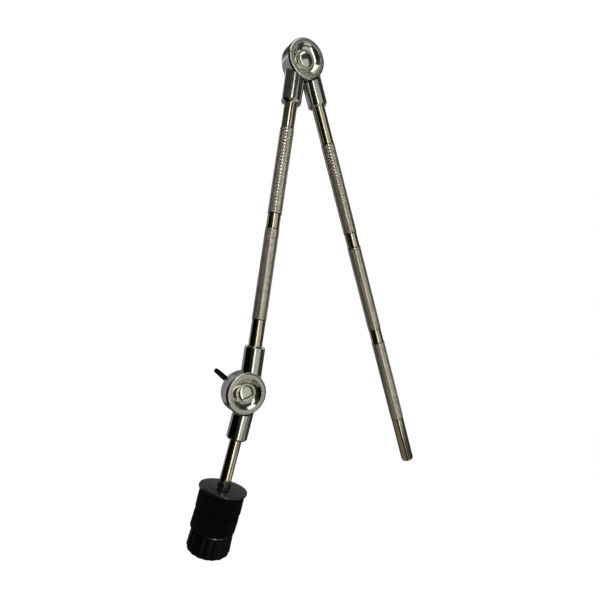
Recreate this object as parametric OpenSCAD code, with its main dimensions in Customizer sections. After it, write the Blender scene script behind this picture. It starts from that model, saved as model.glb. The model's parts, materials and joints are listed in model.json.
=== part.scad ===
// Folding boom arm: a knurled mounting rod and a knurled arm rod joined by a
// ratchet tilter, with a second tilter that carries a felted seat on a stud.
//
// The mounting rod stands on +Z and the origin is the middle of its plain
// clamping length. Both tilters turn about axes along Y, with their dished
// faces on -Y and their wing nuts on +Y. The arm is drawn folded.

/* [Rods] */
// Diameter of the plain stretches of both long rods
rod_d = 9.5; // [8:0.5:12]
// Height of the knurling above the plain rod
knurl_height = 0.25; // [0.1:0.05:0.4]
// Bore of both long rods, which are tubes
rod_bore_d = 6; // [4:0.5:6.5]
// Plain clamping length at the mounting rod's free end
grip_length = 38; // [25:1:60]
// Length of each of the mounting rod's three knurled bands
mount_band = 66.3; // [40:0.1:80]
// Plain gap between the mounting rod's bands
mount_gap = 10.5; // [4:0.1:20]
// Plain length of the mounting rod between the last band and its socket
mount_neck = 26; // [10:1:60]
// Plain length of the arm rod next to each socket
arm_neck = 17.6; // [8:0.1:40]
// Knurled band of the arm rod next to the upper tilter
arm_upper_band = 60.5; // [30:0.5:100]
// Knurled band of the arm rod next to the lower tilter
arm_lower_band = 63; // [30:0.5:100]
// Plain gap between the arm rod's bands
arm_gap = 9.9; // [4:0.1:20]
// Diameter of the rod that carries the seat
seat_rod_d = 8; // [7:0.5:9.5]
// Seat rod seen between its socket and the seat
seat_rod_reach = 27.8; // [15:0.1:80]

/* [Tilters] */
// Radius of each tilter half
disc_r = 14.1; // [12.5:0.1:18]
// Thickness of each half, from the seam to its outer face
half_t = 7.7; // [7.4:0.1:10]
// Wall of a socket around its rod
socket_wall = 2.3; // [1.6:0.1:3]
// Distance from the pivot to the mouth of a socket
socket_reach = 31.3; // [26:0.1:45]
// Smallest angle between the rods, where the two sockets nearly meet
tightest_fold = 27; // [22:0.5:34]
// Gap between the two halves at their rims
seam = 0.3; // [0.2:0.05:0.6]
// Radial gap between one half's rim and the other half's socket
rim_gap = 0.5; // [0.3:0.1:1]
// Number of ratchet teeth on each half
teeth = 36; // [24:1:40]
// Height of the ratchet teeth
tooth_h = 0.8; // [0.4:0.1:1.2]
// Outer radius of the dished cup in the front half
cup_r = 10.9; // [9.5:0.1:12]
// Depth of the dished cup
cup_depth = 3.6; // [2.5:0.1:4]
// Diameter of the clamping bolts
bolt_d = 6; // [5:0.5:7]
// Length of one wing of a wing nut from the bolt's centre line
wing_reach = 20; // [16:0.5:26]

/* [Seat] */
// Radius of the flange above the felts
flange_r = 16.2; // [14:0.1:25]
// Thickness of the flange
flange_t = 1.8; // [1.2:0.1:3]
// Radius of the upper felt
upper_felt_r = 15.3; // [13:0.1:24]
// Thickness of the upper felt
upper_felt_t = 12.9; // [5:0.1:20]
// Radius of the lower felt
lower_felt_r = 14.9; // [13:0.1:24]
// Thickness of the lower felt
lower_felt_t = 12; // [5:0.1:20]
// Radius of the clamping knob over its ribs
knob_r = 14.3; // [12:0.1:22]
// Height of the clamping knob
knob_h = 13.2; // [12:0.1:20]
// Number of ribs on the knob
knob_ribs = 16; // [10:1:24]
// Diameter of the threaded stud through the seat
stud_d = 6; // [5:0.5:6]

/* [Pose] */
// Angle between the arm rod and the mounting rod
fold_angle = 27; // [27:1:180]
// Bend of the lower tilter away from straight
bend_angle = 6.9; // [0:0.1:90]

/* [Hidden] */
$fn = 64;

eps = 0.01;                 // overrun of a cut past the face it opens
fit = 0.05;                 // radial clearance of a shaft in its hole
face_gap = 0.1;             // gap between faces of pieces that turn on each other

rod_r = rod_d / 2;
seat_rod_r = seat_rod_d / 2;
bolt_r = bolt_d / 2;
stud_r = stud_d / 2;
socket_r = rod_r + fit + socket_wall;
socket_floor = disc_r + rim_gap + 1.8;      // pivot to the bottom of a socket's bore
// Sideways distance from the pivot to a socket's centre line, which keeps the sockets
// apart at the tightest fold, where they come out from behind the rims
socket_gap = 0.1;
socket_offset = (socket_r + socket_gap - (disc_r + rim_gap) * sin(tightest_fold / 2))
    / cos(tightest_fold / 2);
mouth_chamfer = 1.2;

// Long rods
band_chamfer = 0.4;
plug_head = 1.6;
plug_spigot = 9;
mount_end = -grip_length / 2;               // the rod's free end, with the origin at mid grip
mount_mouth = mount_end + grip_length + 3 * mount_band + 2 * mount_gap + mount_neck;
pivot_z = mount_mouth + socket_reach;
arm_length = 2 * socket_reach + 2 * arm_neck + arm_upper_band + arm_gap + arm_lower_band;

// Set screws in the backs of the sockets
screw_r = 2.5;
screw_z = socket_floor + 7;
screw_length = socket_wall + 0.4;
screw_hex = 1.45;

// Ratchet faces
land_in = disc_r - 1.1;                     // inner edge of the rim land
tooth_out = land_in - 0.3;
tooth_in = 7.4;
tooth_base = 1.2;
tooth_floor = seam / 2 + tooth_h;
spring_r = 5.6;                             // spring pocket radius
front_pocket = 2;
rear_pocket = 3.5;

// Dished cup and bolt
cup_wall = 0.6;
cup_floor_r = 7.4;
cup_floor_y = half_t - cup_depth;
neck_w = bolt_d * 1.02;
neck_depth = 1.5;
head_r = 6.5;
head_ring = 1.2;
head_h = 2.5;
front_edge = 1.9;
rear_edge = 4.2;

// Wing nuts
washer_t = 1;
washer_r = 8;
nut_seat = max(half_t, socket_r);           // plane that the washer bears on
nut_y = nut_seat + face_gap + washer_t + face_gap;
nut_h = 8.4;
nut_r = 6.6;
nut_edge = 1.5;
insert_r = bolt_r + 1.3;
wing_base_w = 3.9;
wing_tip_w = 2.8;
wing_low = 1;                               // the wing's root above the nut's base
wing_high = 10;
bolt_tip = nut_y + nut_h + 3.4;
upper_wing_angle = 60;
lower_wing_angle = 118;

// Seat, measured along its rod from the lower pivot
boss_h = 4;
boss_r = 4.7;
seat_top = socket_reach + seat_rod_reach + boss_h;
sleeve_r = 5.5;
felt_fit = 0.2;
felt_gap = 0.1;
upper_felt_top = seat_top + flange_t + felt_gap;
lower_felt_top = upper_felt_top + upper_felt_t + felt_gap;
lower_felt_end = lower_felt_top + lower_felt_t;
clamp_top = lower_felt_end + felt_gap;
clamp_t = 1;
clamp_r = 12.5;
knob_top = clamp_top + clamp_t + face_gap;
knob_edge = 4;
knob_rib_depth = 0.8;
knob_flute_r = 2.2;
stud_engaged = 8.4;
stud_end = knob_top + stud_engaged;
insert_wall = 2;
knob_insert_h = stud_engaged + 1.2;

nickel = "#aaa392";
chrome = "#c4c7c8";
bright = "#dfe1e2";
steel = "#8f9194";
black = "#17181a";
felt_black = "#101112";
brass = "#b9984f";

// ---- Placing ----

// Upper pivot, in the mounting rod's frame
module at_upper() translate([-socket_offset, 0, pivot_z]) children();

// The arm's frame: upper pivot at the origin, the arm rod along -Z
module in_arm() at_upper() rotate([0, fold_angle, 0]) children();

// Lower pivot, in the arm's frame
module at_lower() in_arm() translate([-2 * socket_offset, 0, -arm_length]) children();

// The seat's frame: lower pivot at the origin, the seat rod along -Z
module in_seat() at_lower() rotate([0, bend_angle, 0]) children();

// Centre line of the arm rod, running down from the upper pivot's height
module on_arm_rod() in_arm() translate([-socket_offset, 0, 0]) rotate([180, 0, 0]) children();

// Centre line of the seat rod, running down from the lower pivot's height
module on_seat_rod() in_seat() translate([socket_offset, 0, 0]) rotate([180, 0, 0]) children();

// Turns +Z to the front (-Y) or to the back (+Y)
module to_front() rotate([90, 0, 0]) children();
module to_back() rotate([-90, 0, 0]) children();

// ---- Shared shapes ----

// Round plate on Z from z0 to z1 whose top edge is rounded
module rounded_disc(r, z0, z1, edge) {
    rotate_extrude() {
        translate([0, z0]) square([r, z1 - z0 - edge]);
        translate([0, z0]) square([r - edge, z1 - z0]);
        intersection() {
            translate([r - edge, z1 - edge]) circle(r = edge);
            square([r, z1]);
        }
    }
}

// Rod along +Z with chamfered ends
module chamfered_rod(r, z0, z1, c) {
    translate([0, 0, z0]) cylinder(h = c, r1 = r - c, r2 = r);
    translate([0, 0, z0 + c]) cylinder(h = z1 - z0 - 2 * c, r = r);
    translate([0, 0, z1 - c]) cylinder(h = c, r1 = r, r2 = r - c);
}

// Ring of ratchet teeth standing on the plane Z = 0
module tooth_ring() {
    for (i = [0 : teeth - 1])
        rotate([0, 0, i * 360 / teeth])
            translate([tooth_in, 0, 0])
                rotate([90, 0, 90])
                    linear_extrude(tooth_out - tooth_in)
                        polygon([[-tooth_base / 2, -0.2], [tooth_base / 2, -0.2],
                                 [tooth_base / 2, 0], [0, tooth_h], [-tooth_base / 2, 0]]);
}

// Socket along -Z beside the pivot; side is 1 for +X and -1 for -X
module socket_body(side) {
    translate([side * socket_offset, 0, -socket_reach]) {
        cylinder(h = mouth_chamfer, r1 = socket_r - mouth_chamfer, r2 = socket_r);
        translate([0, 0, mouth_chamfer])
            cylinder(h = socket_reach - mouth_chamfer - socket_offset, r = socket_r);
    }
}

module socket_bore(side, bore_r) {
    translate([side * socket_offset, 0, -socket_reach - eps])
        cylinder(h = socket_reach - socket_floor + eps, r = bore_r + fit);
    translate([side * socket_offset, 0, -screw_z])
        to_back() cylinder(h = socket_r + 1, r = screw_r + fit);
}

// Cylinder that the other half's rim turns in, behind or in front of the seam
module rim_space() {
    translate([0, 0, -seam / 2]) cylinder(h = 2 * half_t, r = disc_r + rim_gap);
}

// Cut for the ratchet ring and the spring pocket, in the face at Z = seam / 2
module ratchet_cut(pocket) {
    rotate_extrude()
        translate([tooth_in - 0.3, -1]) square([land_in - tooth_in + 0.3, tooth_floor + 1]);
    translate([0, 0, -1]) cylinder(h = pocket + 1, r = spring_r);
}

module ratchet_teeth() {
    translate([0, 0, tooth_floor]) mirror([0, 0, 1]) tooth_ring();
}

// Front half of a tilter: dished face on -Y, socket on the -X side
module front_half(bore_r) {
    difference() {
        union() {
            to_front() rounded_disc(disc_r, seam / 2, half_t, front_edge);
            difference() {
                socket_body(-1);
                to_back() rim_space();
            }
        }
        to_front() {
            ratchet_cut(front_pocket);
            rotate_extrude()
                polygon([[0, cup_floor_y], [cup_floor_r, cup_floor_y], [cup_r, half_t],
                         [cup_r, half_t + 1], [0, half_t + 1]]);
            translate([-neck_w / 2 - fit, -neck_w / 2 - fit, 0])
                cube([neck_w + 2 * fit, neck_w + 2 * fit, half_t]);
        }
        socket_bore(-1, bore_r);
    }
    to_front() ratchet_teeth();
}

// Rear half of a tilter: rounded back on +Y, socket on the +X side
module rear_half(bore_r) {
    difference() {
        union() {
            to_back() rounded_disc(disc_r, seam / 2, half_t, rear_edge);
            if (nut_seat > half_t) to_back() cylinder(h = nut_seat, r = washer_r);
            difference() {
                socket_body(1);
                to_front() rim_space();
            }
        }
        to_back() {
            ratchet_cut(rear_pocket);
            cylinder(h = nut_seat + 1, r = bolt_r + fit);
        }
        socket_bore(1, bore_r);
    }
    to_back() ratchet_teeth();
}

// Hexagon-socket set screw that holds a rod in its socket
module set_screw(side, held_r) {
    translate([side * socket_offset, held_r, -screw_z])
        to_back()
            difference() {
                chamfered_rod(screw_r, 0.02, screw_length, 0.3);
                translate([0, 0, screw_length / 2])
                    cylinder(h = screw_length, r = screw_hex, $fn = 6);
            }
}

// Pressed cup that lines the dish, with a square hole for the bolt's neck
module dish_cup() {
    to_front()
        difference() {
            rotate_extrude()
                polygon([[0, cup_floor_y + 0.02], [cup_floor_r, cup_floor_y + 0.02],
                         [cup_r - 0.04, half_t - 0.02], [cup_r - 0.04 - cup_wall, half_t - 0.02],
                         [cup_floor_r - cup_wall, cup_floor_y + cup_wall], [0, cup_floor_y + cup_wall]]);
            translate([-neck_w / 2 - fit, -neck_w / 2 - fit, 0])
                cube([neck_w + 2 * fit, neck_w + 2 * fit, half_t]);
        }
}

// Carriage bolt: ringed dome in the dish, square neck, threaded shank to +Y
module clamp_bolt() {
    head_y = cup_floor_y + cup_wall + 0.02;
    dome_r = head_r - head_ring;
    to_front()
        translate([0, 0, head_y])
            rotate_extrude()
                polygon(concat([[0, 0], [head_r, 0], [head_r, 0.9], [head_r - 0.3, 1.3],
                                [dome_r + 0.2, 1.3], [dome_r, 1]],
                               [for (a = [10 : 10 : 90])
                                    [dome_r * cos(a), 1 + (head_h - 1) * sin(a)]]));
    translate([-neck_w / 2, -head_y - eps, -neck_w / 2]) cube([neck_w, neck_depth, neck_w]);
    translate([0, -head_y, 0]) to_back() chamfered_rod(bolt_r, 0, head_y + bolt_tip, 0.5);
}

// Compression spring round the bolt that parts the ratchet faces when the nut is slackened
module release_spring() {
    wire_r = 0.45;
    coil_r = spring_r - wire_r - 0.35;
    y0 = -front_pocket + wire_r + 0.15;
    y1 = rear_pocket - wire_r - 0.15;
    turns = 3.5;
    steps = 84;
    sides = 8;
    function ring(i, j) =
        let (a = 360 * turns * i / steps, b = 360 * j / sides,
             r = coil_r + wire_r * cos(b))
        [r * cos(a), y0 + (y1 - y0) * i / steps + wire_r * sin(b), r * sin(a)];
    points = [for (i = [0 : steps], j = [0 : sides - 1]) ring(i, j)];
    sides_faces = [for (i = [0 : steps - 1], j = [0 : sides - 1])
        let (k = (j + 1) % sides)
        [i * sides + j, i * sides + k, (i + 1) * sides + k, (i + 1) * sides + j]];
    caps = [[for (j = [sides - 1 : -1 : 0]) j],
            [for (j = [0 : sides - 1]) steps * sides + j]];
    polyhedron(points = points, faces = concat(sides_faces, caps));
}

module thrust_washer() {
    to_back()
        difference() {
            translate([0, 0, nut_seat + face_gap]) cylinder(h = washer_t, r = washer_r);
            cylinder(h = bolt_tip, r = bolt_r + fit);
        }
}

// One wing, along +X: tapered in thickness, with a raised rounded tip
module wing() {
    tip_x = wing_reach - wing_tip_w / 2;
    intersection() {
        to_back()
            translate([0, 0, nut_y])
                linear_extrude(wing_high + 1) {
                    polygon([[0, -wing_base_w / 2], [tip_x, -wing_tip_w / 2],
                             [tip_x, wing_tip_w / 2], [0, wing_base_w / 2]]);
                    translate([tip_x, 0]) circle(r = wing_tip_w / 2);
                }
        translate([0, nut_y, -wing_base_w])
            linear_extrude(2 * wing_base_w)
                union() {
                    polygon([[0, wing_low], [wing_reach - 8, wing_low], [wing_reach - 2, wing_low + 1.4],
                             [wing_reach, wing_low + 4], [wing_reach, wing_high - 4],
                             [wing_reach - 8, wing_high], [wing_reach - 13, wing_high - 2.5],
                             [0, nut_h - 1.5]]);
                    translate([wing_reach - 4, wing_high - 4]) circle(r = 4);
                }
    }
}

module wing_nut(angle) {
    rotate([0, -angle, 0])
        difference() {
            union() {
                to_back() rounded_disc(nut_r, nut_y, nut_y + nut_h, nut_edge);
                for (turn = [0, 180]) rotate([0, turn, 0]) wing();
            }
            to_back() cylinder(h = 3 * bolt_tip, r = insert_r + 0.02, center = true);
        }
}

module wing_nut_insert() {
    to_back()
        difference() {
            translate([0, 0, nut_y]) cylinder(h = nut_h, r = insert_r);
            cylinder(h = 2 * bolt_tip, r = bolt_r + fit);
        }
}

// ---- Mounting rod ----

module mounting_rod() {
    color(nickel)
        translate([0, 0, mount_end])
            difference() {
                union() {
                    translate([0, 0, plug_head])
                        cylinder(h = pivot_z - socket_floor - fit - mount_end - plug_head, r = rod_r);
                    for (i = [0 : 2])
                        translate([0, 0, grip_length + i * (mount_band + mount_gap)])
                            chamfered_rod(rod_r + knurl_height, 0, mount_band, band_chamfer);
                }
                cylinder(h = pivot_z + 2 * grip_length, r = rod_bore_d / 2);
            }
}

module mounting_rod_end_plug() {
    color(nickel)
        translate([0, 0, mount_end]) {
            translate([0, 0, plug_head]) mirror([0, 0, 1]) rounded_disc(rod_r, 0.01, plug_head, 1.2);
            cylinder(h = plug_head + plug_spigot, r = rod_bore_d / 2 - 0.02);
        }
}

module mounting_rod_set_screw() color(steel) at_upper() set_screw(1, rod_r);

module upper_rear_casting() color(chrome) at_upper() rear_half(rod_r);

// ---- Arm ----

module arm_rod() {
    rod_start = socket_floor + fit;
    color(nickel)
        on_arm_rod()
            difference() {
                union() {
                    translate([0, 0, rod_start]) cylinder(h = arm_length - 2 * rod_start, r = rod_r);
                    chamfered_rod(rod_r + knurl_height, socket_reach + arm_neck,
                                  socket_reach + arm_neck + arm_upper_band, band_chamfer);
                    chamfered_rod(rod_r + knurl_height,
                                  arm_length - socket_reach - arm_neck - arm_lower_band,
                                  arm_length - socket_reach - arm_neck, band_chamfer);
                }
                cylinder(h = arm_length, r = rod_bore_d / 2);
            }
}

module upper_front_casting() color(chrome) in_arm() front_half(rod_r);

module lower_front_casting() color(chrome) at_lower() rotate([0, 180, 0]) front_half(rod_r);

module upper_arm_set_screw() color(steel) in_arm() set_screw(-1, rod_r);

module lower_arm_set_screw() color(steel) at_lower() rotate([0, 180, 0]) set_screw(-1, rod_r);

module upper_dish_cup() color(bright) in_arm() dish_cup();

module lower_dish_cup() color(bright) at_lower() dish_cup();

module upper_clamp_bolt() color(bright) in_arm() clamp_bolt();

module lower_clamp_bolt() color(bright) at_lower() clamp_bolt();

module upper_release_spring() color(steel) in_arm() release_spring();

module lower_release_spring() color(steel) at_lower() release_spring();

// ---- Wing nuts ----

module upper_thrust_washer() color(steel) at_upper() thrust_washer();

module upper_wing_nut() color(black) at_upper() wing_nut(upper_wing_angle);

module upper_wing_nut_insert() color(brass) at_upper() wing_nut_insert();

module lower_thrust_washer() color(steel) at_lower() thrust_washer();

module lower_wing_nut() color(black) at_lower() rotate([0, -fold_angle, 0]) wing_nut(lower_wing_angle);

module lower_wing_nut_insert() color(brass) at_lower() wing_nut_insert();

// ---- Seat ----

module lower_rear_casting() color(chrome) in_seat() rear_half(seat_rod_r);

// Plain rod from the socket to the shoulder on the sleeve's boss, then the threaded stud
module seat_rod() {
    shoulder = seat_top - boss_h;
    color(nickel)
        on_seat_rod() {
            translate([0, 0, socket_floor + fit])
                cylinder(h = shoulder - socket_floor - fit, r = seat_rod_r);
            chamfered_rod(stud_r, shoulder - 2, stud_end, 0.5);
        }
}

module seat_rod_set_screw() color(steel) in_seat() set_screw(1, seat_rod_r);

module flanged_sleeve() {
    color(black)
        on_seat_rod()
            difference() {
                union() {
                    translate([0, 0, seat_top]) mirror([0, 0, 1]) rounded_disc(boss_r, 0, boss_h - 0.02, 0.6);
                    chamfered_rod(flange_r, seat_top, seat_top + flange_t, 0.5);
                    translate([0, 0, seat_top]) cylinder(h = lower_felt_end - seat_top - 1, r = sleeve_r);
                }
                translate([0, 0, seat_top - 2 * boss_h]) cylinder(h = stud_end, r = stud_r + fit);
            }
}

// Felt washer with softened edges, from s0 down the seat rod
module felt(r, s0, t) {
    on_seat_rod()
        difference() {
            chamfered_rod(r, s0, s0 + t, 1);
            cylinder(h = stud_end + knob_h, r = sleeve_r + felt_fit);
        }
}

module upper_felt() color(felt_black) felt(upper_felt_r, upper_felt_top, upper_felt_t);

module lower_felt() color(felt_black) felt(lower_felt_r, lower_felt_top, lower_felt_t);

module clamp_washer() {
    color(steel)
        on_seat_rod()
            difference() {
                translate([0, 0, clamp_top]) cylinder(h = clamp_t, r = clamp_r);
                cylinder(h = stud_end + knob_h, r = stud_r + fit);
            }
}

// Ribbed cap nut: fluted side, rounded closed end, blind hole for its insert
module clamp_knob() {
    flute_at = knob_r + knob_flute_r - knob_rib_depth;
    color(black)
        on_seat_rod()
            difference() {
                rounded_disc(knob_r, knob_top, knob_top + knob_h, knob_edge);
                for (i = [0 : knob_ribs - 1])
                    rotate([0, 0, i * 360 / knob_ribs])
                        translate([flute_at, 0, knob_top - eps])
                            cylinder(h = knob_h + 1, r = knob_flute_r);
                translate([0, 0, knob_top - eps])
                    cylinder(h = knob_insert_h + eps, r = stud_r + insert_wall + 0.02);
            }
}

module clamp_knob_insert() {
    color(brass)
        on_seat_rod()
            difference() {
                translate([0, 0, knob_top]) cylinder(h = knob_insert_h - 0.02, r = stud_r + insert_wall);
                translate([0, 0, knob_top - 1]) cylinder(h = knob_insert_h + 2, r = stud_r + fit);
            }
}

mounting_rod();
mounting_rod_end_plug();
mounting_rod_set_screw();
upper_rear_casting();
arm_rod();
upper_front_casting();
upper_arm_set_screw();
lower_front_casting();
lower_arm_set_screw();
upper_dish_cup();
lower_dish_cup();
upper_clamp_bolt();
lower_clamp_bolt();
upper_release_spring();
lower_release_spring();
upper_thrust_washer();
upper_wing_nut();
upper_wing_nut_insert();
lower_thrust_washer();
lower_wing_nut();
lower_wing_nut_insert();
lower_rear_casting();
seat_rod();
seat_rod_set_screw();
flanged_sleeve();
upper_felt();
lower_felt();
clamp_washer();
clamp_knob();
clamp_knob_insert();
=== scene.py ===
# %% [markdown]
# # A folding boom arm in chrome, knurled nickel and black felt
# The arm is a piece of stand hardware: two long knurled rods and a short plain one, joined by two
# ratchet tilters, with a felted seat at the far end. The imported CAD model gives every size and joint.
# This file adds the finishes, and makes again, as finer surfaces, the pieces whose looks depend on detail.

# %% Load the frame
import json
import math

import bpy
import numpy as np
from mathutils import Matrix, Vector

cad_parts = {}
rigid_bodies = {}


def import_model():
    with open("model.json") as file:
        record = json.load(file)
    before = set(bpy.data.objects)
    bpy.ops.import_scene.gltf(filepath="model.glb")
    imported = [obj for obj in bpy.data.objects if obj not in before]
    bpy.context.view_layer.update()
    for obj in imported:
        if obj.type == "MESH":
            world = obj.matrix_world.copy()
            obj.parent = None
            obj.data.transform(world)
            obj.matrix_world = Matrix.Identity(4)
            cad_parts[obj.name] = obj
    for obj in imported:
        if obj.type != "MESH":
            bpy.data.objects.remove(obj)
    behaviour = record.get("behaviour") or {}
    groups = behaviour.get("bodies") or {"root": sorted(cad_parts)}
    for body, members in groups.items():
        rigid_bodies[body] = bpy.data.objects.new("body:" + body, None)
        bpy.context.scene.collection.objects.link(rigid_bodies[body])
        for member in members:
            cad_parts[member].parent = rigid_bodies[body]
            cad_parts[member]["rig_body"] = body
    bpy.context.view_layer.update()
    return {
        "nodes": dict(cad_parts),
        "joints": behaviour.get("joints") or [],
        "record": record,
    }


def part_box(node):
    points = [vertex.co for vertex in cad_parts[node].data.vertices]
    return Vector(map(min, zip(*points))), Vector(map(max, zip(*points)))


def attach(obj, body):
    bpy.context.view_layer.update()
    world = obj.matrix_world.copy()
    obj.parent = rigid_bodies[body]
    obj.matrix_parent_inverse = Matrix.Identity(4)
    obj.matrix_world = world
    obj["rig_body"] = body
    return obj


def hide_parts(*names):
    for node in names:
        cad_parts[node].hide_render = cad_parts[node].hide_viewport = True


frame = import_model()
joints = {j["name"]: j for j in frame["joints"]}
nodes = frame["nodes"]
MM = 0.001
print("CAD nodes:", len(nodes), "joints:", len(joints))

# %% [markdown]
# Everything is placed along a few lines: the two pivots and the three rods. The pivots come from the
# joints of the frame. The mounting rod stands on +Z, the arm rod leans by the fold angle, and the seat
# rod follows the knob's axis. Lengths along a rod are counted in millimetres from its pivot.

# %% Lines of the frame
UPPER = np.array(joints["upper_tilt"]["pos_m"]) / MM
LOWER = np.array(joints["lower_tilt"]["pos_m"]) / MM
UP = np.array([0.0, 0.0, 1.0])
FRONT = np.array([0.0, -1.0, 0.0])
middle = (UPPER + LOWER) / 2                    # lies on the arm rod's centre line
FOLD = math.radians(27)                         # between the two long rods
ARM_DOWN = np.array([-math.sin(FOLD), 0, -math.cos(FOLD)])
ARM_FOOT = middle - ARM_DOWN * np.dot(middle - UPPER, ARM_DOWN)
SEAT_DOWN = np.array(joints["knob_travel"]["axis"])
SEAT_FOOT = np.array(joints["knob_turn"]["pos_m"]) / MM
MOUNT_FOOT = np.array([0.0, 0.0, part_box("mounting_rod_end_plug")[0].z / MM])
print("pivots at", UPPER.round(1), LOWER.round(1), "seat axis", SEAT_DOWN.round(3))

# %% [markdown]
# The camera stands about 0.3 m away, so the far ends of the rods look thinner than the
# near ones. It is held a little askew, turned about its own line of sight, and its lens is not shifted.

# %% Camera
CAMERA_PLACE = np.array([-195.7, -277.0, 193.6])
CAMERA_AZIMUTH = math.radians(-26.76)
CAMERA_ELEVATION = math.radians(10.08)
CAMERA_ROLL = math.radians(-15.76)
FOCAL_SHARE = 0.7391                            # focal length over the sensor's width
SENSOR = 36.0                                   # mm across

back = np.array([math.sin(CAMERA_AZIMUTH) * math.cos(CAMERA_ELEVATION),
                 -math.cos(CAMERA_AZIMUTH) * math.cos(CAMERA_ELEVATION),
                 math.sin(CAMERA_ELEVATION)])
level = np.array([math.cos(CAMERA_AZIMUTH), math.sin(CAMERA_AZIMUTH), 0.0])
upright = np.cross(back, level)
right = level * math.cos(CAMERA_ROLL) + upright * math.sin(CAMERA_ROLL)
top = upright * math.cos(CAMERA_ROLL) - level * math.sin(CAMERA_ROLL)
camera_data = bpy.data.cameras.new("camera")
camera_data.sensor_width = SENSOR
camera_data.lens = FOCAL_SHARE * SENSOR
camera_data.clip_start = 0.01
camera = bpy.data.objects.new("camera", camera_data)
turned = Matrix(np.column_stack([right, top, back]).tolist()).to_4x4()
camera.matrix_world = Matrix.Translation((CAMERA_PLACE * MM).tolist()) @ turned
bpy.context.scene.collection.objects.link(camera)
bpy.context.scene.camera = camera
print("lens %.1f mm" % camera_data.lens)

# %% [markdown]
# ## Tools for finishes
# A finish is a tree of shader nodes. One function adds a node with its settings and links, and one turns
# a hex colour, as a paint chart gives it, into the linear numbers that a shader works with. No real
# surface is even, so two more let a colour or a gloss wander in patches, and make a surface uneven.

# %% Colours and nodes
def linear(code):
    """The sRGB curve undone: a straight part near black, and a power of 2.4 above it."""
    share = np.array([int(code[i:i + 2], 16) for i in (1, 3, 5)]) / 255
    curve = np.where(share <= 0.04045, share / 12.92, ((share + 0.055) / 1.055) ** 2.4)
    return (*curve.tolist(), 1.0)


def add(tree, kind, settings=None, links=None):
    """Adds a shader node. A setting is an attribute of the node, or else the value of an input."""
    node = tree.nodes.new("ShaderNode" + kind)
    for key, value in (settings or {}).items():
        if isinstance(key, str) and hasattr(node, key):
            setattr(node, key, value)
        else:
            node.inputs[key].default_value = value
    for key, socket in (links or {}).items():
        tree.links.new(socket, node.inputs[key])
    return node


def finish(name, color, metallic, roughness, **sockets):
    """A material with a Principled shader whose even values are set, and Object coordinates in mm."""
    material = bpy.data.materials.new(name)
    material.use_nodes = True
    tree = material.node_tree
    shader = tree.nodes["Principled BSDF"]
    shader.inputs["Base Color"].default_value = linear(color)
    shader.inputs["Metallic"].default_value = metallic
    shader.inputs["Roughness"].default_value = roughness
    for key, value in sockets.items():
        shader.inputs[key.replace("_", " ")].default_value = value
    place = add(tree, "TexCoord")
    scaled = add(tree, "VectorMath", {"operation": "SCALE", "Scale": 1 / MM},
                 {0: place.outputs["Object"]})
    return material, tree, shader, scaled.outputs["Vector"]


def vary(tree, shader, place, socket, size, low, high, detail=3.0):
    """Patches about size mm across carry a socket from low to high: two numbers or two hex colours.
    Noise below 0.3 gives low, above 0.7 high, and in between the share grows evenly."""
    noise = add(tree, "TexNoise", {"Scale": 1 / size, "Detail": detail}, {"Vector": place})
    colours = isinstance(low, str)
    reach = {"To Min": 0.0, "To Max": 1.0} if colours else {"To Min": low, "To Max": high}
    result = add(tree, "MapRange", {"From Min": 0.3, "From Max": 0.7, **reach},
                 {"Value": noise.outputs["Fac"]}).outputs["Result"]
    if colours:
        result = add(tree, "Mix", {"data_type": "RGBA", 6: linear(low), 7: linear(high)},
                     {0: result}).outputs[2]
    tree.links.new(result, shader.inputs[socket])


def uneven(tree, shader, place, size, depth, detail=3.0):
    """Stands noise whose patches are about size mm across as a relief of depth mm."""
    noise = add(tree, "TexNoise", {"Scale": 1 / size, "Detail": detail}, {"Vector": place})
    relief = add(tree, "Bump", {"Strength": 1.0, "Distance": depth * MM}, {"Height": noise.outputs["Fac"]})
    tree.links.new(relief.outputs["Normal"], shader.inputs["Normal"])


print("finish tools ready")

# %% [markdown]
# ## Nickel plate
# The rods are steel tube with a warm nickel plate, drawn and then rolled. Nickel is yellower than chrome,
# and handling leaves it a little smeared, so its roughness wanders in patches some millimetres across.
# Fine draw lines along the rod aren't seen at this distance, so a light, slow waviness stands for them.

# %% Nickel plate
nickel, tree, shader, place = finish("warm_nickel_plate", "#cec8b0", 1.0, 0.14)
vary(tree, shader, place, "Base Color", 6.0, "#d3cdb6", "#c3bca2")
vary(tree, shader, place, "Roughness", 0.6, 0.1, 0.17, 2.0)
uneven(tree, shader, place, 3.0, 0.02, 1.0)
print("made", nickel.name)

# %% [markdown]
# Knurled steel has the same plate, but its small faces are rolled rather than polished, so they are rougher
# than the plain stretches. Its colour is painted shade in the grooves and a painted highlight on the tops.

# %% Knurled nickel
knurled, tree, shader, place = finish("knurled_nickel_plate", "#a79f8c", 1.0, 0.26)
peak = add(tree, "Attribute", {"attribute_name": "height"}).outputs["Fac"]
# Painted shade and painted highlight: the base colour runs from near black in the grooves to near white on
# the tops, by height.
shade_and_highlight_share = add(tree, "MapRange", {"From Min": 0.35, "From Max": 0.95, "To Min": 0.0, "To Max": 1.0},
                 {"Value": peak})
groove_shade_and_peak_highlight = add(tree, "Mix", {"data_type": "RGBA", 6: linear("#2e291f"), 7: linear("#fffaec")},
           {0: shade_and_highlight_share.outputs["Result"]})
patches = add(tree, "TexNoise", {"Scale": 1 / 2.2, "Detail": 3.0}, {"Vector": place})
stain_share = add(tree, "MapRange", {"From Min": 0.3, "From Max": 0.7, "To Min": 0.0, "To Max": 1.0},
                  {"Value": patches.outputs["Fac"]})
stain = add(tree, "Mix", {"data_type": "RGBA", 6: linear("#ffffff"), 7: linear("#d2cdbf")},
            {0: stain_share.outputs["Result"]})
plate = add(tree, "Mix", {"data_type": "RGBA", "blend_type": "MULTIPLY", 0: 1.0},
            {6: groove_shade_and_peak_highlight.outputs[2], 7: stain.outputs[2]})
tree.links.new(plate.outputs[2], shader.inputs["Base Color"])
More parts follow.
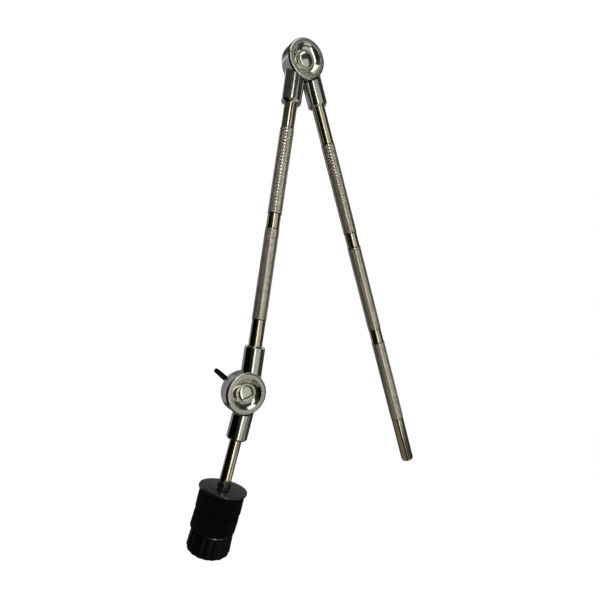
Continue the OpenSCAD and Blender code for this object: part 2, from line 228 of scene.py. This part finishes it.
gloss = add(tree, "MapRange", {"From Min": 0.3, "From Max": 1.0, "To Min": 0.42, "To Max": 0.24},
            {"Value": peak})
tree.links.new(gloss.outputs["Result"], shader.inputs["Roughness"])
print("made", knurled.name)

# %% [markdown]
# ## Chrome plate
# The tilter halves are die-cast zinc, tumbled smooth and chrome plated. The plate is nearly white and
# mirrors the room, but the casting under it is never quite flat: a slow waviness bends the reflections.
# The front face of each rim is linished before plating, which leaves it a soft satin under the plate,
# so the roughness rises where the piece comes within a fraction of a millimetre of its front plane.

# %% Chrome plate
RIM_PLANE = 7.5                                 # mm in front of the pivots' plane
chrome, tree, shader, place = finish("chrome_plated_casting", "#c6c6bf", 1.0, 0.2)
axes = add(tree, "SeparateXYZ", {}, {0: place})
near_front = {"From Min": -RIM_PLANE - 0.1, "From Max": -RIM_PLANE + 0.15, "To Min": 1, "To Max": 0}
rim = add(tree, "MapRange", near_front, {"Value": axes.outputs["Y"]}).outputs["Result"]
patches = add(tree, "TexNoise", {"Scale": 1 / 4.0, "Detail": 3.0}, {"Vector": place})
polish = add(tree, "MapRange", {"From Min": 0.3, "From Max": 0.7, "To Min": 0.12, "To Max": 0.18},
             {"Value": patches.outputs["Fac"]})
satin = add(tree, "Mix", {"data_type": "FLOAT", 3: 0.4}, {0: rim, 2: polish.outputs["Result"]})
tree.links.new(satin.outputs[0], shader.inputs["Roughness"])
rim_colour = add(tree, "Mix", {"data_type": "RGBA", 6: linear("#c6c6bf"), 7: linear("#bfbfb6")}, {0: rim})
tree.links.new(rim_colour.outputs[2], shader.inputs["Base Color"])
uneven(tree, shader, place, 5.0, 0.03, 1.0)
print("made", chrome.name)

# %% [markdown]
# The dish and the bolt head are pressed steel, buffed and then chrome plated, so they are the brightest
# and sharpest mirrors on the arm. Buffing leaves faint wander in the gloss.

# %% Bright chrome
bright, tree, shader, place = finish("buffed_chrome", "#d6d6cb", 1.0, 0.12)
vary(tree, shader, place, "Roughness", 2.0, 0.09, 0.17)
uneven(tree, shader, place, 3.0, 0.012, 1.0)
print("made", bright.name)

# %% [markdown]
# Washers, set screws and springs are zinc plated: a dull, slightly blue grey with a fine crystalline
# grain. The threaded inserts are turned brass.

# %% Zinc and brass
zinc, tree, shader, place = finish("zinc_plated_steel", "#9a9da0", 1.0, 0.34)
vary(tree, shader, place, "Base Color", 0.8, "#a4a7aa", "#83878c")
vary(tree, shader, place, "Roughness", 0.5, 0.28, 0.42)
brass, tree, shader, place = finish("turned_brass", "#b9964f", 1.0, 0.28)
vary(tree, shader, place, "Roughness", 1.0, 0.2, 0.36)
vary(tree, shader, place, "Base Color", 2.5, "#c4a25c", "#a07f3e")
print("made", zinc.name, "and", brass.name)

# %% [markdown]
# ## Black plastics and felt
# The wing nuts and the knob are moulded nylon with a fine spark-eroded texture, so they have a broad,
# weak sheen. The flanged sleeve is ABS from a polished mould: just as black, but glossy enough to mirror
# the rod that stands on it.

# %% Nylon and ABS
nylon, tree, shader, place = finish("moulded_black_nylon", "#030404", 0.0, 0.36,
                                    IOR=1.53, Specular_IOR_Level=0.06)
vary(tree, shader, place, "Roughness", 3.0, 0.34, 0.46)
vary(tree, shader, place, "Base Color", 1.2, "#030404", "#070808")
uneven(tree, shader, place, 0.25, 0.02)
abs_black, tree, shader, place = finish("polished_black_abs", "#0d0e0f", 0.0, 0.15, IOR=1.54)
vary(tree, shader, place, "Roughness", 4.0, 0.12, 0.2)
vary(tree, shader, place, "Base Color", 1.5, "#0b0c0d", "#121315")
uneven(tree, shader, place, 1.5, 0.006, 2.0)
print("made", nylon.name, "and", abs_black.name)

# %% [markdown]
# Pressed wool felt takes in nearly all light. What shows is a faint halo of fibres at grazing angles,
# which the sheen gives, and a tangle of fibres a few tenths of a millimetre across. The tangle is drawn
# at 0.4 mm, a little coarser than wool, so that it can be seen.

# %% Felt
felt, tree, shader, place = finish("pressed_black_wool_felt", "#060707", 0.0, 1.0,
                                   Sheen_Weight=0.008, Sheen_Roughness=0.6, Specular_IOR_Level=0.02)
FIBRE = 0.4                                     # mm; really under 0.1, drawn coarser to show
vary(tree, shader, place, "Base Color", FIBRE, "#020202", "#060606", 5.0)
uneven(tree, shader, place, FIBRE, 0.12, 5.0)
print("made", felt.name)

# %% [markdown]
# ## Tools for shapes
# Most pieces are turned or moulded round, so they are rings of points along a line. A ring may vary with
# its angle, which gives knurls and ribs. Rings that shrink to a point become a pole.

# %% Rings to mesh
def side_vectors(axis):
    """Two unit vectors square to axis and to each other. The second is near +Y for axes in XZ."""
    other = np.array([0.0, 1.0, 0.0]) if abs(axis[1]) < 0.9 else np.array([1.0, 0.0, 0.0])
    first = np.cross(other, axis)
    first /= np.linalg.norm(first)
    return first, np.cross(axis, first)


def rings_of(radius, along, foot, axis, turns):
    """Points foot + along*axis + radius*(cos a, sin a), for every profile row and every angle a."""
    first, second = side_vectors(axis)
    angle = np.linspace(0, 2 * np.pi, turns, endpoint=False)
    radius = np.broadcast_to(np.asarray(radius, float).reshape(len(along), -1), (len(along), turns))
    around = np.cos(angle)[:, None] * first + np.sin(angle)[:, None] * second
    return foot + np.asarray(along)[:, None, None] * axis + radius[..., None] * around


def ring_faces(rings, closed, phase=None):
    """Quads between neighbouring rings, or triangles whose diagonal swaps with the phase's parity."""
    rows, turns = rings.shape[:2]
    index = np.arange(rows * turns).reshape(rows, turns)
    poles = np.ptp(rings, axis=1).max(axis=1) < 1e-9
    index[poles] = index[poles][:, :1]
    here, there = (index, np.roll(index, -1, 0)) if closed else (index[:-1], index[1:])
    quads = np.stack([here, np.roll(here, -1, 1), np.roll(there, -1, 1), there], -1)
    if phase is not None:
        odd = (phase[:len(here), None] + np.arange(turns)) % 2 == 1
        quads = np.where(odd[..., None], np.roll(quads, -1, -1), quads)
        return np.concatenate([quads[..., [0, 1, 2]], quads[..., [0, 2, 3]]], -1).reshape(-1, 3)
    return quads.reshape(-1, 4)


def volume_of(points, faces):
    """Sum of the signed tetrahedra between the origin and each face: positive if faces look out."""
    a, b, c = (points[faces[:, k]] for k in (0, 1, 2))
    total = np.einsum("ij,ij->", a, np.cross(b, c))
    if faces.shape[1] == 4:
        d = points[faces[:, 3]]
        total += np.einsum("ij,ij->", a, np.cross(c, d))
    return total / 6


def make_mesh(name, shells, material, sharp=35):
    """One mesh from closed shells of (points in mm, faces). Faces are turned to look outwards."""
    points, faces, start = [], [], 0
    for shell_points, shell_faces in shells:
        centred = shell_points - shell_points.mean(0)
        if volume_of(centred, shell_faces) < 0:
            shell_faces = shell_faces[:, ::-1]
        used, back_index = np.unique(shell_faces, return_inverse=True)
        faces += (back_index.reshape(shell_faces.shape) + start).tolist()
        points.append(shell_points[used] * MM)
        start += len(used)
    clean = [list(dict.fromkeys(face)) for face in faces]
    mesh = bpy.data.meshes.new(name)
    mesh.from_pydata(np.concatenate(points).tolist(), [], clean)
    mesh.materials.append(material)
    mesh.shade_smooth()
    mesh.set_sharp_from_angle(angle=math.radians(sharp))
    piece = bpy.data.objects.new(name, mesh)
    bpy.context.scene.collection.objects.link(piece)
    return piece


def stand_in(piece, node):
    """The piece takes the CAD node's place: its body and its being seen."""
    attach(piece, nodes[node]["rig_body"])
    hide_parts(node)
    return piece


def rounded(corners, radii, steps=6):
    """An outline whose corners are arcs: each starts and ends radius * tan(turn / 2) from its corner."""
    corners = np.asarray(corners, float)
    outline = [corners[:1]]
    for i in range(1, len(corners) - 1):
        before, after = corners[i - 1] - corners[i], corners[i + 1] - corners[i]
        before /= np.linalg.norm(before)
        after /= np.linalg.norm(after)
        half = math.acos(np.clip(before @ after, -1, 1)) / 2
        reach = radii[i] / math.tan(half)
        bisector = (before + after) / np.linalg.norm(before + after)
        centre = corners[i] + bisector * radii[i] / math.sin(half)
        start, stop = corners[i] + before * reach - centre, corners[i] + after * reach - centre
        share = np.linspace(0, 1, steps)[:, None]
        sweep = np.pi - 2 * half
        arc = start * np.sin((1 - share) * sweep) + stop * np.sin(share * sweep)
        outline.append(centre + arc / math.sin(sweep))
    outline.append(corners[-1:])
    return np.concatenate(outline)


def turned_shell(profile, foot, axis, turns=128, closed=False):
    """A lathe: each profile row (radius, along) goes round the axis."""
    rings = rings_of(profile[:, 0], profile[:, 1], foot, axis, turns)
    return rings.reshape(-1, 3), ring_faces(rings, closed)


print("shape tools ready")

# %% [markdown]
# ## Knurled rods
# A knurl is rolled by two wheels whose ridges cross, and leaves rows of small pyramids. Bump mapping
# would give its sparkle but a smooth outline, so the pyramids are real. Two sets of helices, u and v,
# cross each other. The height at a point is the smaller of its distances from the nearest u groove and
# the nearest v groove, held at a third of the full depth, because the rolls stop before the points are
# sharp. The grid has six steps to a pyramid, so every groove lies on a diagonal, and the diagonals swap
# from cell to cell to follow them. The small faces are shaded flat. Each point also carries its height,
# which the finish reads to paint shade into the grooves and a highlight onto the tops.

# %% Knurled rods
ROD_R = 4.75                                    # plain rod
PEAK_R = 5.0
VALLEY_R = 4.84
STARTS = 14                                     # pyramids round the rod
PITCH = 2.2                                     # mm along the rod; really 1.5, drawn coarser to show
CELLS = 6                                       # grid steps to a pyramid, each way
FADE = 2                                        # grid steps over which a band's end runs out
SHOULDER = 0.1                                  # mm from a band's end to the plain rod
FLAT_TOP = 1 / 3                                # share of the full depth at which the rolls stopped


def knurled_rod(name, foot, axis, start, end, bands):
    """Rings every sixth of a pitch inside the bands, and only at the ends of the plain stretches."""
    along, phase, radius = [np.array([start, start])], [np.array([0, 0])], []
    turns = STARTS * CELLS
    a = np.arange(turns) / CELLS
    radius.append(np.array([np.zeros(turns), np.full(turns, ROD_R)]))
    for low, high in bands:
        count = int((high - low) / PITCH * CELLS) // CELLS * CELLS + 1
        step = np.arange(count)
        b = step[:, None] / CELLS
        away = [1 - 2 * np.abs(w - np.round(w)) for w in (a + b, a - b)]
        height = np.minimum(1, np.minimum(*away) / FLAT_TOP)
        inner = VALLEY_R + (PEAK_R - VALLEY_R) * height
        fade = np.minimum(1, np.minimum(step, step[::-1]) / FADE)[:, None]
        inner = ROD_R + (inner - ROD_R) * fade
        along += [np.array([low - SHOULDER]), np.linspace(low, high, count), np.array([high + SHOULDER])]
        radius += [np.full((1, turns), ROD_R), inner, np.full((1, turns), ROD_R)]
        phase += [np.array([0]), step, np.array([0])]
    along.append(np.array([end, end]))
    radius.append(np.array([np.full(turns, ROD_R), np.zeros(turns)]))
    phase.append(np.array([0, 0]))
    along, radius, phase = np.concatenate(along), np.concatenate(radius), np.concatenate(phase)
    rings = rings_of(radius, along, foot, axis, turns)
    rod = make_mesh(name, [(rings.reshape(-1, 3), ring_faces(rings, False, phase))], nickel, 20)
    rod.data.materials.append(knurled)
    centres = np.empty(len(rod.data.polygons) * 3)
    rod.data.polygons.foreach_get("center", centres)
    reach = (centres.reshape(-1, 3) / MM - foot) @ axis
    rough = np.any([(reach > low) & (reach < high) for low, high in bands], axis=0)
    rod.data.polygons.foreach_set("material_index", rough.astype(np.int32))
    rod.data.polygons.foreach_set("use_smooth", ~rough)
    # Each point's height, from groove to top, sets the painted groove shade and painted top highlight of
    # the knurled finish.
    spots = np.empty(len(rod.data.vertices) * 3)
    rod.data.vertices.foreach_get("co", spots)
    spots = spots.reshape(-1, 3) / MM - foot
    reach = np.linalg.norm(spots - np.outer(spots @ axis, axis), axis=1)
    share = np.clip((reach - VALLEY_R) / (PEAK_R - VALLEY_R), 0, 1)
    peaks = rod.data.attributes.new("height", "FLOAT", "POINT")
    peaks.data.foreach_set("value", share.astype(np.float32))
    return rod


GRIP = 38.0                                     # plain clamping length at the free end
MOUNT_BAND = 66.3
MOUNT_GAP = 10.5
mount_bands = [(GRIP + i * (MOUNT_BAND + MOUNT_GAP), GRIP + i * (MOUNT_BAND + MOUNT_GAP) + MOUNT_BAND)
               for i in range(3)]
mount_start, mount_end = (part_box("mounting_rod")[k].z / MM - MOUNT_FOOT[2] for k in (0, 1))
stand_in(knurled_rod("knurled_mounting_rod", MOUNT_FOOT, UP, mount_start, mount_end, mount_bands),
         "mounting_rod")

ARM_HIDDEN = 16.45                              # from a pivot to the rod's end inside the socket
ARM_LENGTH = float((LOWER - UPPER) @ ARM_DOWN)
ARM_BANDS = [(48.9, 109.4), (119.3, 182.3)]     # start and end of each, from the upper pivot
stand_in(knurled_rod("knurled_arm_rod", ARM_FOOT, ARM_DOWN, ARM_HIDDEN, ARM_LENGTH - ARM_HIDDEN, ARM_BANDS),
         "arm_rod")

# %% [markdown]
# The mounting rod's end is closed with a pressed plug whose edge is rounded, and the seat rod is plain
# drawn rod that ends in a shoulder on the sleeve. Both are simple turned outlines.

# %% Plug and seat rod
PLUG_HEAD = 1.6
SPIGOT_R, SPIGOT_END = 2.98, 10.6               # pressed into the tube's bore
plug_profile = rounded([(0, 0), (ROD_R, 0), (ROD_R, PLUG_HEAD), (SPIGOT_R, PLUG_HEAD),
                        (SPIGOT_R, SPIGOT_END), (0, SPIGOT_END)],
                       [0, 1.45, 0.02, 0.02, 0.3, 0], 8)
stand_in(make_mesh("rounded_end_plug", [turned_shell(plug_profile, MOUNT_FOOT, UP, 96)], nickel),
         "mounting_rod_end_plug")

SEAT_ROD_R = 4.0
SEAT_ROD_START = 16.5                           # inside its socket; all from the lower pivot
SEAT_SHOULDER = 59.1
STUD_R = 3.0
STUD_END = 99.6
seat_profile = rounded([(0, SEAT_ROD_START), (SEAT_ROD_R, SEAT_ROD_START), (SEAT_ROD_R, SEAT_SHOULDER),
                        (STUD_R, SEAT_SHOULDER), (STUD_R, STUD_END), (0, STUD_END)],
                       [0, 0.2, 0.15, 0.02, 0.4, 0])
stand_in(make_mesh("plain_seat_rod", [turned_shell(seat_profile, SEAT_FOOT, SEAT_DOWN, 96)], nickel),
         "seat_rod")

# %% [markdown]
# ## Dishes and bolt heads
# The middle of each tilter is a pressed bowl with a carriage bolt in it. The bowl's wall is nearly a
# cone, hollowed by about a fifth of a millimetre, so that each stretch of it mirrors a different part
# of the room. Its lip is a small half round. The bolt head is a flat ring round a low dome, with a fine
# groove between them, and its shank runs back through the tilter to the wing nut.

# %% Dishes and bolt heads
LIP_R, LIP_Y = 10.86, 7.68
LIP_ROUND = 0.3
FLOOR_R, FLOOR_Y = 6.6, 4.7
BACK_R, BACK_Y = 7.4, 4.12                      # where the cup rests on its casting
HOLLOW = 0.18                                   # mm by which the wall is hollower than a cone
share = np.linspace(1, 0, 16)
sag = HOLLOW * np.sin(np.pi * share)
wall_r = FLOOR_R + (LIP_R - 2 * LIP_ROUND - FLOOR_R) * share
wall_y = FLOOR_Y + (LIP_Y - LIP_ROUND - FLOOR_Y) * share
bowl = np.column_stack([wall_r + sag, wall_y - sag])
half_turn = np.linspace(0, np.pi, 8)
lip_arc = np.column_stack([LIP_R - LIP_ROUND + LIP_ROUND * np.cos(half_turn),
                           LIP_Y - LIP_ROUND + LIP_ROUND * np.sin(half_turn)])
dish_profile = np.concatenate([[(0, BACK_Y), (BACK_R, BACK_Y)], lip_arc, bowl, [(0, FLOOR_Y)]])

HEAD_R = 6.5
DOME_R = 5.6
DOME_H = 1.7
HEAD_BASE = 4.72                                # just clear of the bowl's floor
RING_TOP = HEAD_BASE + 1.3
GROOVE_FLOOR = HEAD_BASE + 0.75
GROOVE_W = 0.2
BOLT_R = 3.0
BOLT_START = -5.0                               # inside the head
BOLT_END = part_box("upper_clamp_bolt")[1].y / MM
quarter = np.linspace(0, np.pi / 2, 16)
dome = np.column_stack([DOME_R * np.cos(quarter), GROOVE_FLOOR + DOME_H * np.sin(quarter)])
ring_profile = rounded([(0, HEAD_BASE), (HEAD_R, HEAD_BASE), (HEAD_R, RING_TOP),
                        (DOME_R + GROOVE_W, RING_TOP), (DOME_R, GROOVE_FLOOR)],
                       [0, 0.1, 0.3, 0.15, 0], 8)
head_profile = np.concatenate([ring_profile, dome])
shank_profile = rounded([(0, BOLT_START), (BOLT_R, BOLT_START), (BOLT_R, BOLT_END), (0, BOLT_END)],
                        [0, 0.02, 0.5, 0])
for level_name, pivot in (("upper", UPPER), ("lower", LOWER)):
    dish = make_mesh(level_name + "_polished_dish", [turned_shell(dish_profile, pivot, FRONT)], bright)
    stand_in(dish, level_name + "_dish_cup")
    shells = [turned_shell(head_profile, pivot, FRONT), turned_shell(shank_profile, pivot, -FRONT, 64)]
    bolt = make_mesh(level_name + "_carriage_bolt", shells, bright)
    stand_in(bolt, level_name + "_clamp_bolt")

# %% [markdown]
# ## Seat
# The sleeve is one moulding: a short boss under the rod, the flange, and a tube that keeps the felts and
# the stud apart. Only the boss and the flange show. Small radii on their edges catch the light.

# %% Flanged sleeve
SEAT_TOP = 63.1
FLANGE_R, FLANGE_T = 16.2, 1.8
BOSS_R = 4.7
SLEEVE_R, SLEEVE_END = 5.5, 88.9
SLEEVE_BORE_R = 3.05
sleeve_profile = rounded([(SLEEVE_BORE_R, SEAT_SHOULDER), (BOSS_R, SEAT_SHOULDER), (BOSS_R, SEAT_TOP),
                          (FLANGE_R, SEAT_TOP), (FLANGE_R, SEAT_TOP + FLANGE_T),
                          (SLEEVE_R, SEAT_TOP + FLANGE_T), (SLEEVE_R, SLEEVE_END),
                          (SLEEVE_BORE_R, SLEEVE_END)],
                         [0, 0.5, 0.4, 0.55, 0.55, 0.02, 0.2, 0])
stand_in(make_mesh("moulded_flange", [turned_shell(sleeve_profile, SEAT_FOOT, SEAT_DOWN, 160, True)],
                   abs_black), "flanged_sleeve")

# %% [markdown]
# The felts are thick pressed rings, cut from dense wool. Their edges round over under the knob's load
# and their cut sides stay a little uneven, so each is a band with rounded corners whose side is pushed
# in and out by a sum of slow and quick waves. The lower one has crept a little to one side. Felt this
# dense holds its own shape, so no cloth simulation is needed.

# %% Felts
# Waves on a felt's side: how many round the ring, how many over its section, and their height in mm
WAVES = ((3, 1, 0.12), (7, 2, 0.06), (17, 5, 0.04), (41, 9, 0.03), (67, 17, 0.02))
SQUARENESS = 0.22                               # power of the section: 1 is an ellipse, 0 a rectangle
FELT_BORE_GAP = 0.25
SIDE_INSET = 0.25                               # about the height of all the waves together


def felt_ring(name, radius, top_s, thickness, drift, seed):
    """A closed band: a superellipse section, uneven by tenths of a millimetre, that leans by drift."""
    turns, steps = 180, 56
    angle = np.linspace(0, 2 * np.pi, turns, endpoint=False)
    around = np.linspace(0, 2 * np.pi, steps, endpoint=False)[:, None]
    bore = SLEEVE_R + FELT_BORE_GAP
    half_w, half_t = (radius - bore) / 2, thickness / 2
    x = np.sign(np.cos(around)) * np.abs(np.cos(around)) ** SQUARENESS
    y = np.sign(np.sin(around)) * np.abs(np.sin(around)) ** SQUARENESS
    random = np.random.default_rng(seed)
    wander = np.zeros((steps, turns))
    for turns_about, turns_over, size in WAVES:
        shift = random.uniform(0, 2 * np.pi, 2)
        wander += size * np.sin(turns_about * angle + shift[0]) * np.sin(turns_over * around + shift[1])
    outer = np.clip(x, 0, 1)
    r = bore + half_w + half_w * x + outer * (wander - SIDE_INSET)
    s = top_s + half_t + half_t * y
    rings = np.stack(np.broadcast_arrays(r, s), -1)
    first, second = side_vectors(SEAT_DOWN)
    centre = SEAT_FOOT + rings[..., 1:] * SEAT_DOWN
    lean = drift * np.clip((rings[..., 1:] - top_s) / thickness, 0, 1) ** 2 * outer[..., None]
    spokes = np.cos(angle)[:, None] * first + np.sin(angle)[:, None] * second
    points = centre + rings[..., :1] * spokes + lean * first
    return make_mesh(name, [(points.reshape(-1, 3), ring_faces(points, True))], felt, 80)


for name, node, radius, top_s, thickness, drift, seed in (
        ("upper_felt_ring", "upper_felt", 15.3, 65.0, 12.9, 0.0, 5),
        ("lower_felt_ring", "lower_felt", 15.0, 78.0, 12.0, 0.6, 9)):
    ring = stand_in(felt_ring(name, radius, top_s, thickness, drift, seed), node)

# %% [markdown]
# ## Clamping knob
# The knob is a moulded cap nut with sixteen flutes. Its side leans out a little towards the closed end,
# which is rounded over. Each ring's radius dips by a rounded cosine where a flute passes, and the flutes
# run out into the rounded end.

# %% Clamping knob
KNOB_TOP, KNOB_END = 91.2, 104.4
KNOB_R = 14.3
KNOB_TAPER = 0.5                                # mm by which the open end is smaller
KNOB_BORE_R = 5.1
KNOB_WALL = 1.5                                 # closed end, outside the bore
RIBS = 16
POINTS_PER_RIB = 16
FLUTE_DEPTH = 0.85
FLUTE_START, FLUTE_RUN = 10.5, 2.5              # radius where flutes begin, and over which they deepen
FLUTE_POWER = 0.6                               # below 1 leaves broad ribs and narrow flutes
turns = RIBS * POINTS_PER_RIB
knob_outline = rounded([(KNOB_BORE_R, KNOB_TOP), (KNOB_R - KNOB_TAPER, KNOB_TOP), (KNOB_R, KNOB_END - 3),
                        (KNOB_R, KNOB_END), (0, KNOB_END)], [0, 0.5, 5, 3.9, 0], 10)
side = np.linspace(KNOB_TOP + 0.6, KNOB_END - 5, 8)
side_rows = np.column_stack([np.interp(side, knob_outline[:, 1], knob_outline[:, 0]), side])
side_row = 11                                   # the rows before it are the open end and its edge
knob_outline = np.concatenate([knob_outline[:side_row], side_rows, knob_outline[side_row:]])
onward = np.diff(knob_outline[:, 1]) > -1e-6
knob_outline = knob_outline[np.concatenate([[True], onward])]
angle = np.linspace(0, 2 * np.pi, turns, endpoint=False)
wave = (0.5 + 0.5 * np.cos(RIBS * angle)) ** FLUTE_POWER
depth = FLUTE_DEPTH * np.clip((knob_outline[:, 0] - FLUTE_START) / FLUTE_RUN, 0, 1)
radius = knob_outline[:, :1] - depth[:, None] * (1 - wave)
rings = rings_of(radius, knob_outline[:, 1], SEAT_FOOT, SEAT_DOWN, turns)
bore_end = KNOB_END - KNOB_WALL
floor_ring = rings_of(np.array([0.0, KNOB_BORE_R, KNOB_BORE_R]), np.array([bore_end, bore_end, KNOB_TOP]),
                      SEAT_FOOT, SEAT_DOWN, turns)
rings = np.concatenate([floor_ring[:2], rings])
stand_in(make_mesh("ribbed_knob", [(rings.reshape(-1, 3), ring_faces(rings, False))], nylon, 50),
         "clamp_knob")

# %% [markdown]
# ## Finishes for the CAD pieces
# The castings, wing nuts, washers, screws, springs and inserts keep their CAD shapes, which are right as
# they are. Each only has its plain colour swapped for the finish of its slot.

# %% Finish the CAD pieces
finishes = {"nickel_plated_steel": nickel, "chrome_plated_zinc": chrome, "bright_chrome": bright,
            "zinc_plated_steel": zinc, "black_nylon": nylon, "black_abs": abs_black, "black_felt": felt,
            "brass": brass}
slots = {part["node"]: part["material_slot"] for part in frame["record"]["subparts"]}
for name, node in nodes.items():
    if not node.hide_render:
        node.data.materials.clear()
        node.data.materials.append(finishes[slots[name]])
print("CAD nodes still shown:", sorted(n for n, o in nodes.items() if not o.hide_render))

# %% [markdown]
# ## Studio
# The arm hangs high over a wide white floor in even white light. The metal doesn't mirror it, because
# the cards of the next step take its place there.

# %% Floor and daylight
FLOOR_Z = -1.5                                  # metres
bpy.ops.mesh.primitive_plane_add(size=30, location=(0, 0, FLOOR_Z))
floor = bpy.context.object
floor.name = "floor"
floor.visible_glossy = False
white, tree, shader, place = finish("white_paper", "#f7f7f7", 0.0, 0.9)
vary(tree, shader, place, "Base Color", 900.0, "#f9f9f9", "#f5f5f5")
floor.data.materials.append(white)
world = bpy.data.worlds.new("white_room")
world.use_nodes = True
world.node_tree.nodes["Background"].inputs["Color"].default_value = (1, 1, 1, 1)
world.node_tree.nodes["Background"].inputs["Strength"].default_value = 1.1
bpy.context.scene.world = world
bpy.context.scene.view_settings.view_transform = "Standard"     # whites stay white, as on a plain page

# %% [markdown]
# Polished metal shows only what is round it, so the room is built for its reflections: a dark grey tent
# all round, and in it a bright tube lamp before a pale window strip, grey walls to the right and behind, a
# black flag to the left, lamps above and a pale cloth below. Bright and dark next to each other are what
# make plate look like metal. The cards are seen in reflections alone and cast no shadow.

# %% Reflection cards
CENTRE = np.array([-70.0, 0.0, 150.0])          # middle of the arm
flat_back = np.array([back[0], back[1], 0.0]) / math.hypot(back[0], back[1])


def glow(name, color, strength):
    """A surface that only gives out light."""
    material = bpy.data.materials.new(name)
    material.use_nodes = True
    tree = material.node_tree
    tree.nodes.clear()
    light = add(tree, "Emission", {"Color": linear(color), "Strength": strength})
    add(tree, "OutputMaterial", {}, {"Surface": light.outputs["Emission"]})
    return material


def only_reflected(card, material):
    """Leaves the card to be seen in glossy surfaces only."""
    card.data.materials.append(material)
    card.visible_camera = False
    card.visible_diffuse = False
    card.visible_shadow = False
    card.visible_transmission = False


def card(name, azimuth, elevation, width, height, color, strength, distance=900.0):
    """A flat card facing the arm. Azimuth 0 is towards the camera, and grows to the camera's right."""
    turn, rise = math.radians(azimuth), math.radians(elevation)
    outward = flat_back * math.cos(turn) + level * math.sin(turn)
    outward = outward * math.cos(rise) + UP * math.sin(rise)
    wide = np.cross(UP, outward)
    wide /= np.linalg.norm(wide)
    tall = np.cross(outward, wide)
    corners = [CENTRE + outward * distance + wide * width / 2 * x + tall * height / 2 * y
               for x, y in ((-1, -1), (1, -1), (1, 1), (-1, 1))]
    mesh = bpy.data.meshes.new(name)
    mesh.from_pydata((np.array(corners) * MM).tolist(), [], [(0, 1, 2, 3)])
    plane = bpy.data.objects.new(name, mesh)
    bpy.context.scene.collection.objects.link(plane)
    only_reflected(plane, glow(name, color, strength))


bpy.ops.mesh.primitive_uv_sphere_add(segments=48, ring_count=24, radius=3, location=(0, 0, 0.15))
tent = bpy.context.object
tent.name = "grey_tent"
only_reflected(tent, glow("grey_tent", "#41413f", 1.0))
# name, azimuth, elevation, width and height in mm, colour, strength, and distance in mm
card("black_flag_left", -65, 8, 1600, 1250, "#030303", 1.0, 850)
card("olive_table_left", -68, -52, 1100, 640, "#7d7868", 1.0, 900)
card("brown_wall_front", -14, -4, 400, 1500, "#24211d", 1.0, 890)
card("tube_lamp", 11, 0, 70, 1300, "#fffdf6", 4.5, 880)
card("strip_window", 14, 0, 260, 1300, "#e2e1d8", 1.0, 890)
card("grey_wall_right", 42, -6, 900, 1000, "#cbccc4", 1.0, 900)
card("dark_doorway_right", 95, 0, 900, 1800, "#3a3a38", 1.0)
card("skylight", 19, 37, 170, 200, "#fffdf6", 3.0, 870)
card("lamp_overhead", 50, 64, 700, 520, "#ffffff", 1.5)
card("grey_floor_cloth", 45, -64, 800, 600, "#cccdc6", 1.0)
card("grey_wall_behind", 178, -2, 900, 1200, "#757672", 1.0)
card("grey_wall_left_behind", -130, 10, 900, 1200, "#98989a", 1.0)
card("window_behind", 142, 5, 420, 1000, "#f2f2ee", 1.0)
card("lamp_behind", 205, 34, 600, 240, "#ffffff", 1.0)

# %% [markdown]
# One large soft lamp stands high on the camera's right. It gives the plastics and the felts, which
# reflect little, a lit side and a dark side. The metal doesn't mirror it, because the cards do that.

# %% Soft key light
KEY_WATTS = 6
KEY_SIZE = 0.8                                  # metres
KEY_REACH = 0.9                                 # metres nearer the camera, to its right, and up
key = bpy.data.lights.new("key", "AREA")
key.energy = KEY_WATTS
key.size = KEY_SIZE
key_object = bpy.data.objects.new("key", key)
key_object.visible_glossy = False
key_place = CENTRE * MM + flat_back * KEY_REACH + level * KEY_REACH + UP * KEY_REACH
toward = CENTRE * MM - key_place
key_object.matrix_world = Matrix.Translation(key_place.tolist())
key_object.rotation_euler = Vector(toward.tolist()).to_track_quat("-Z", "Y").to_euler()
bpy.context.scene.collection.objects.link(key_object)
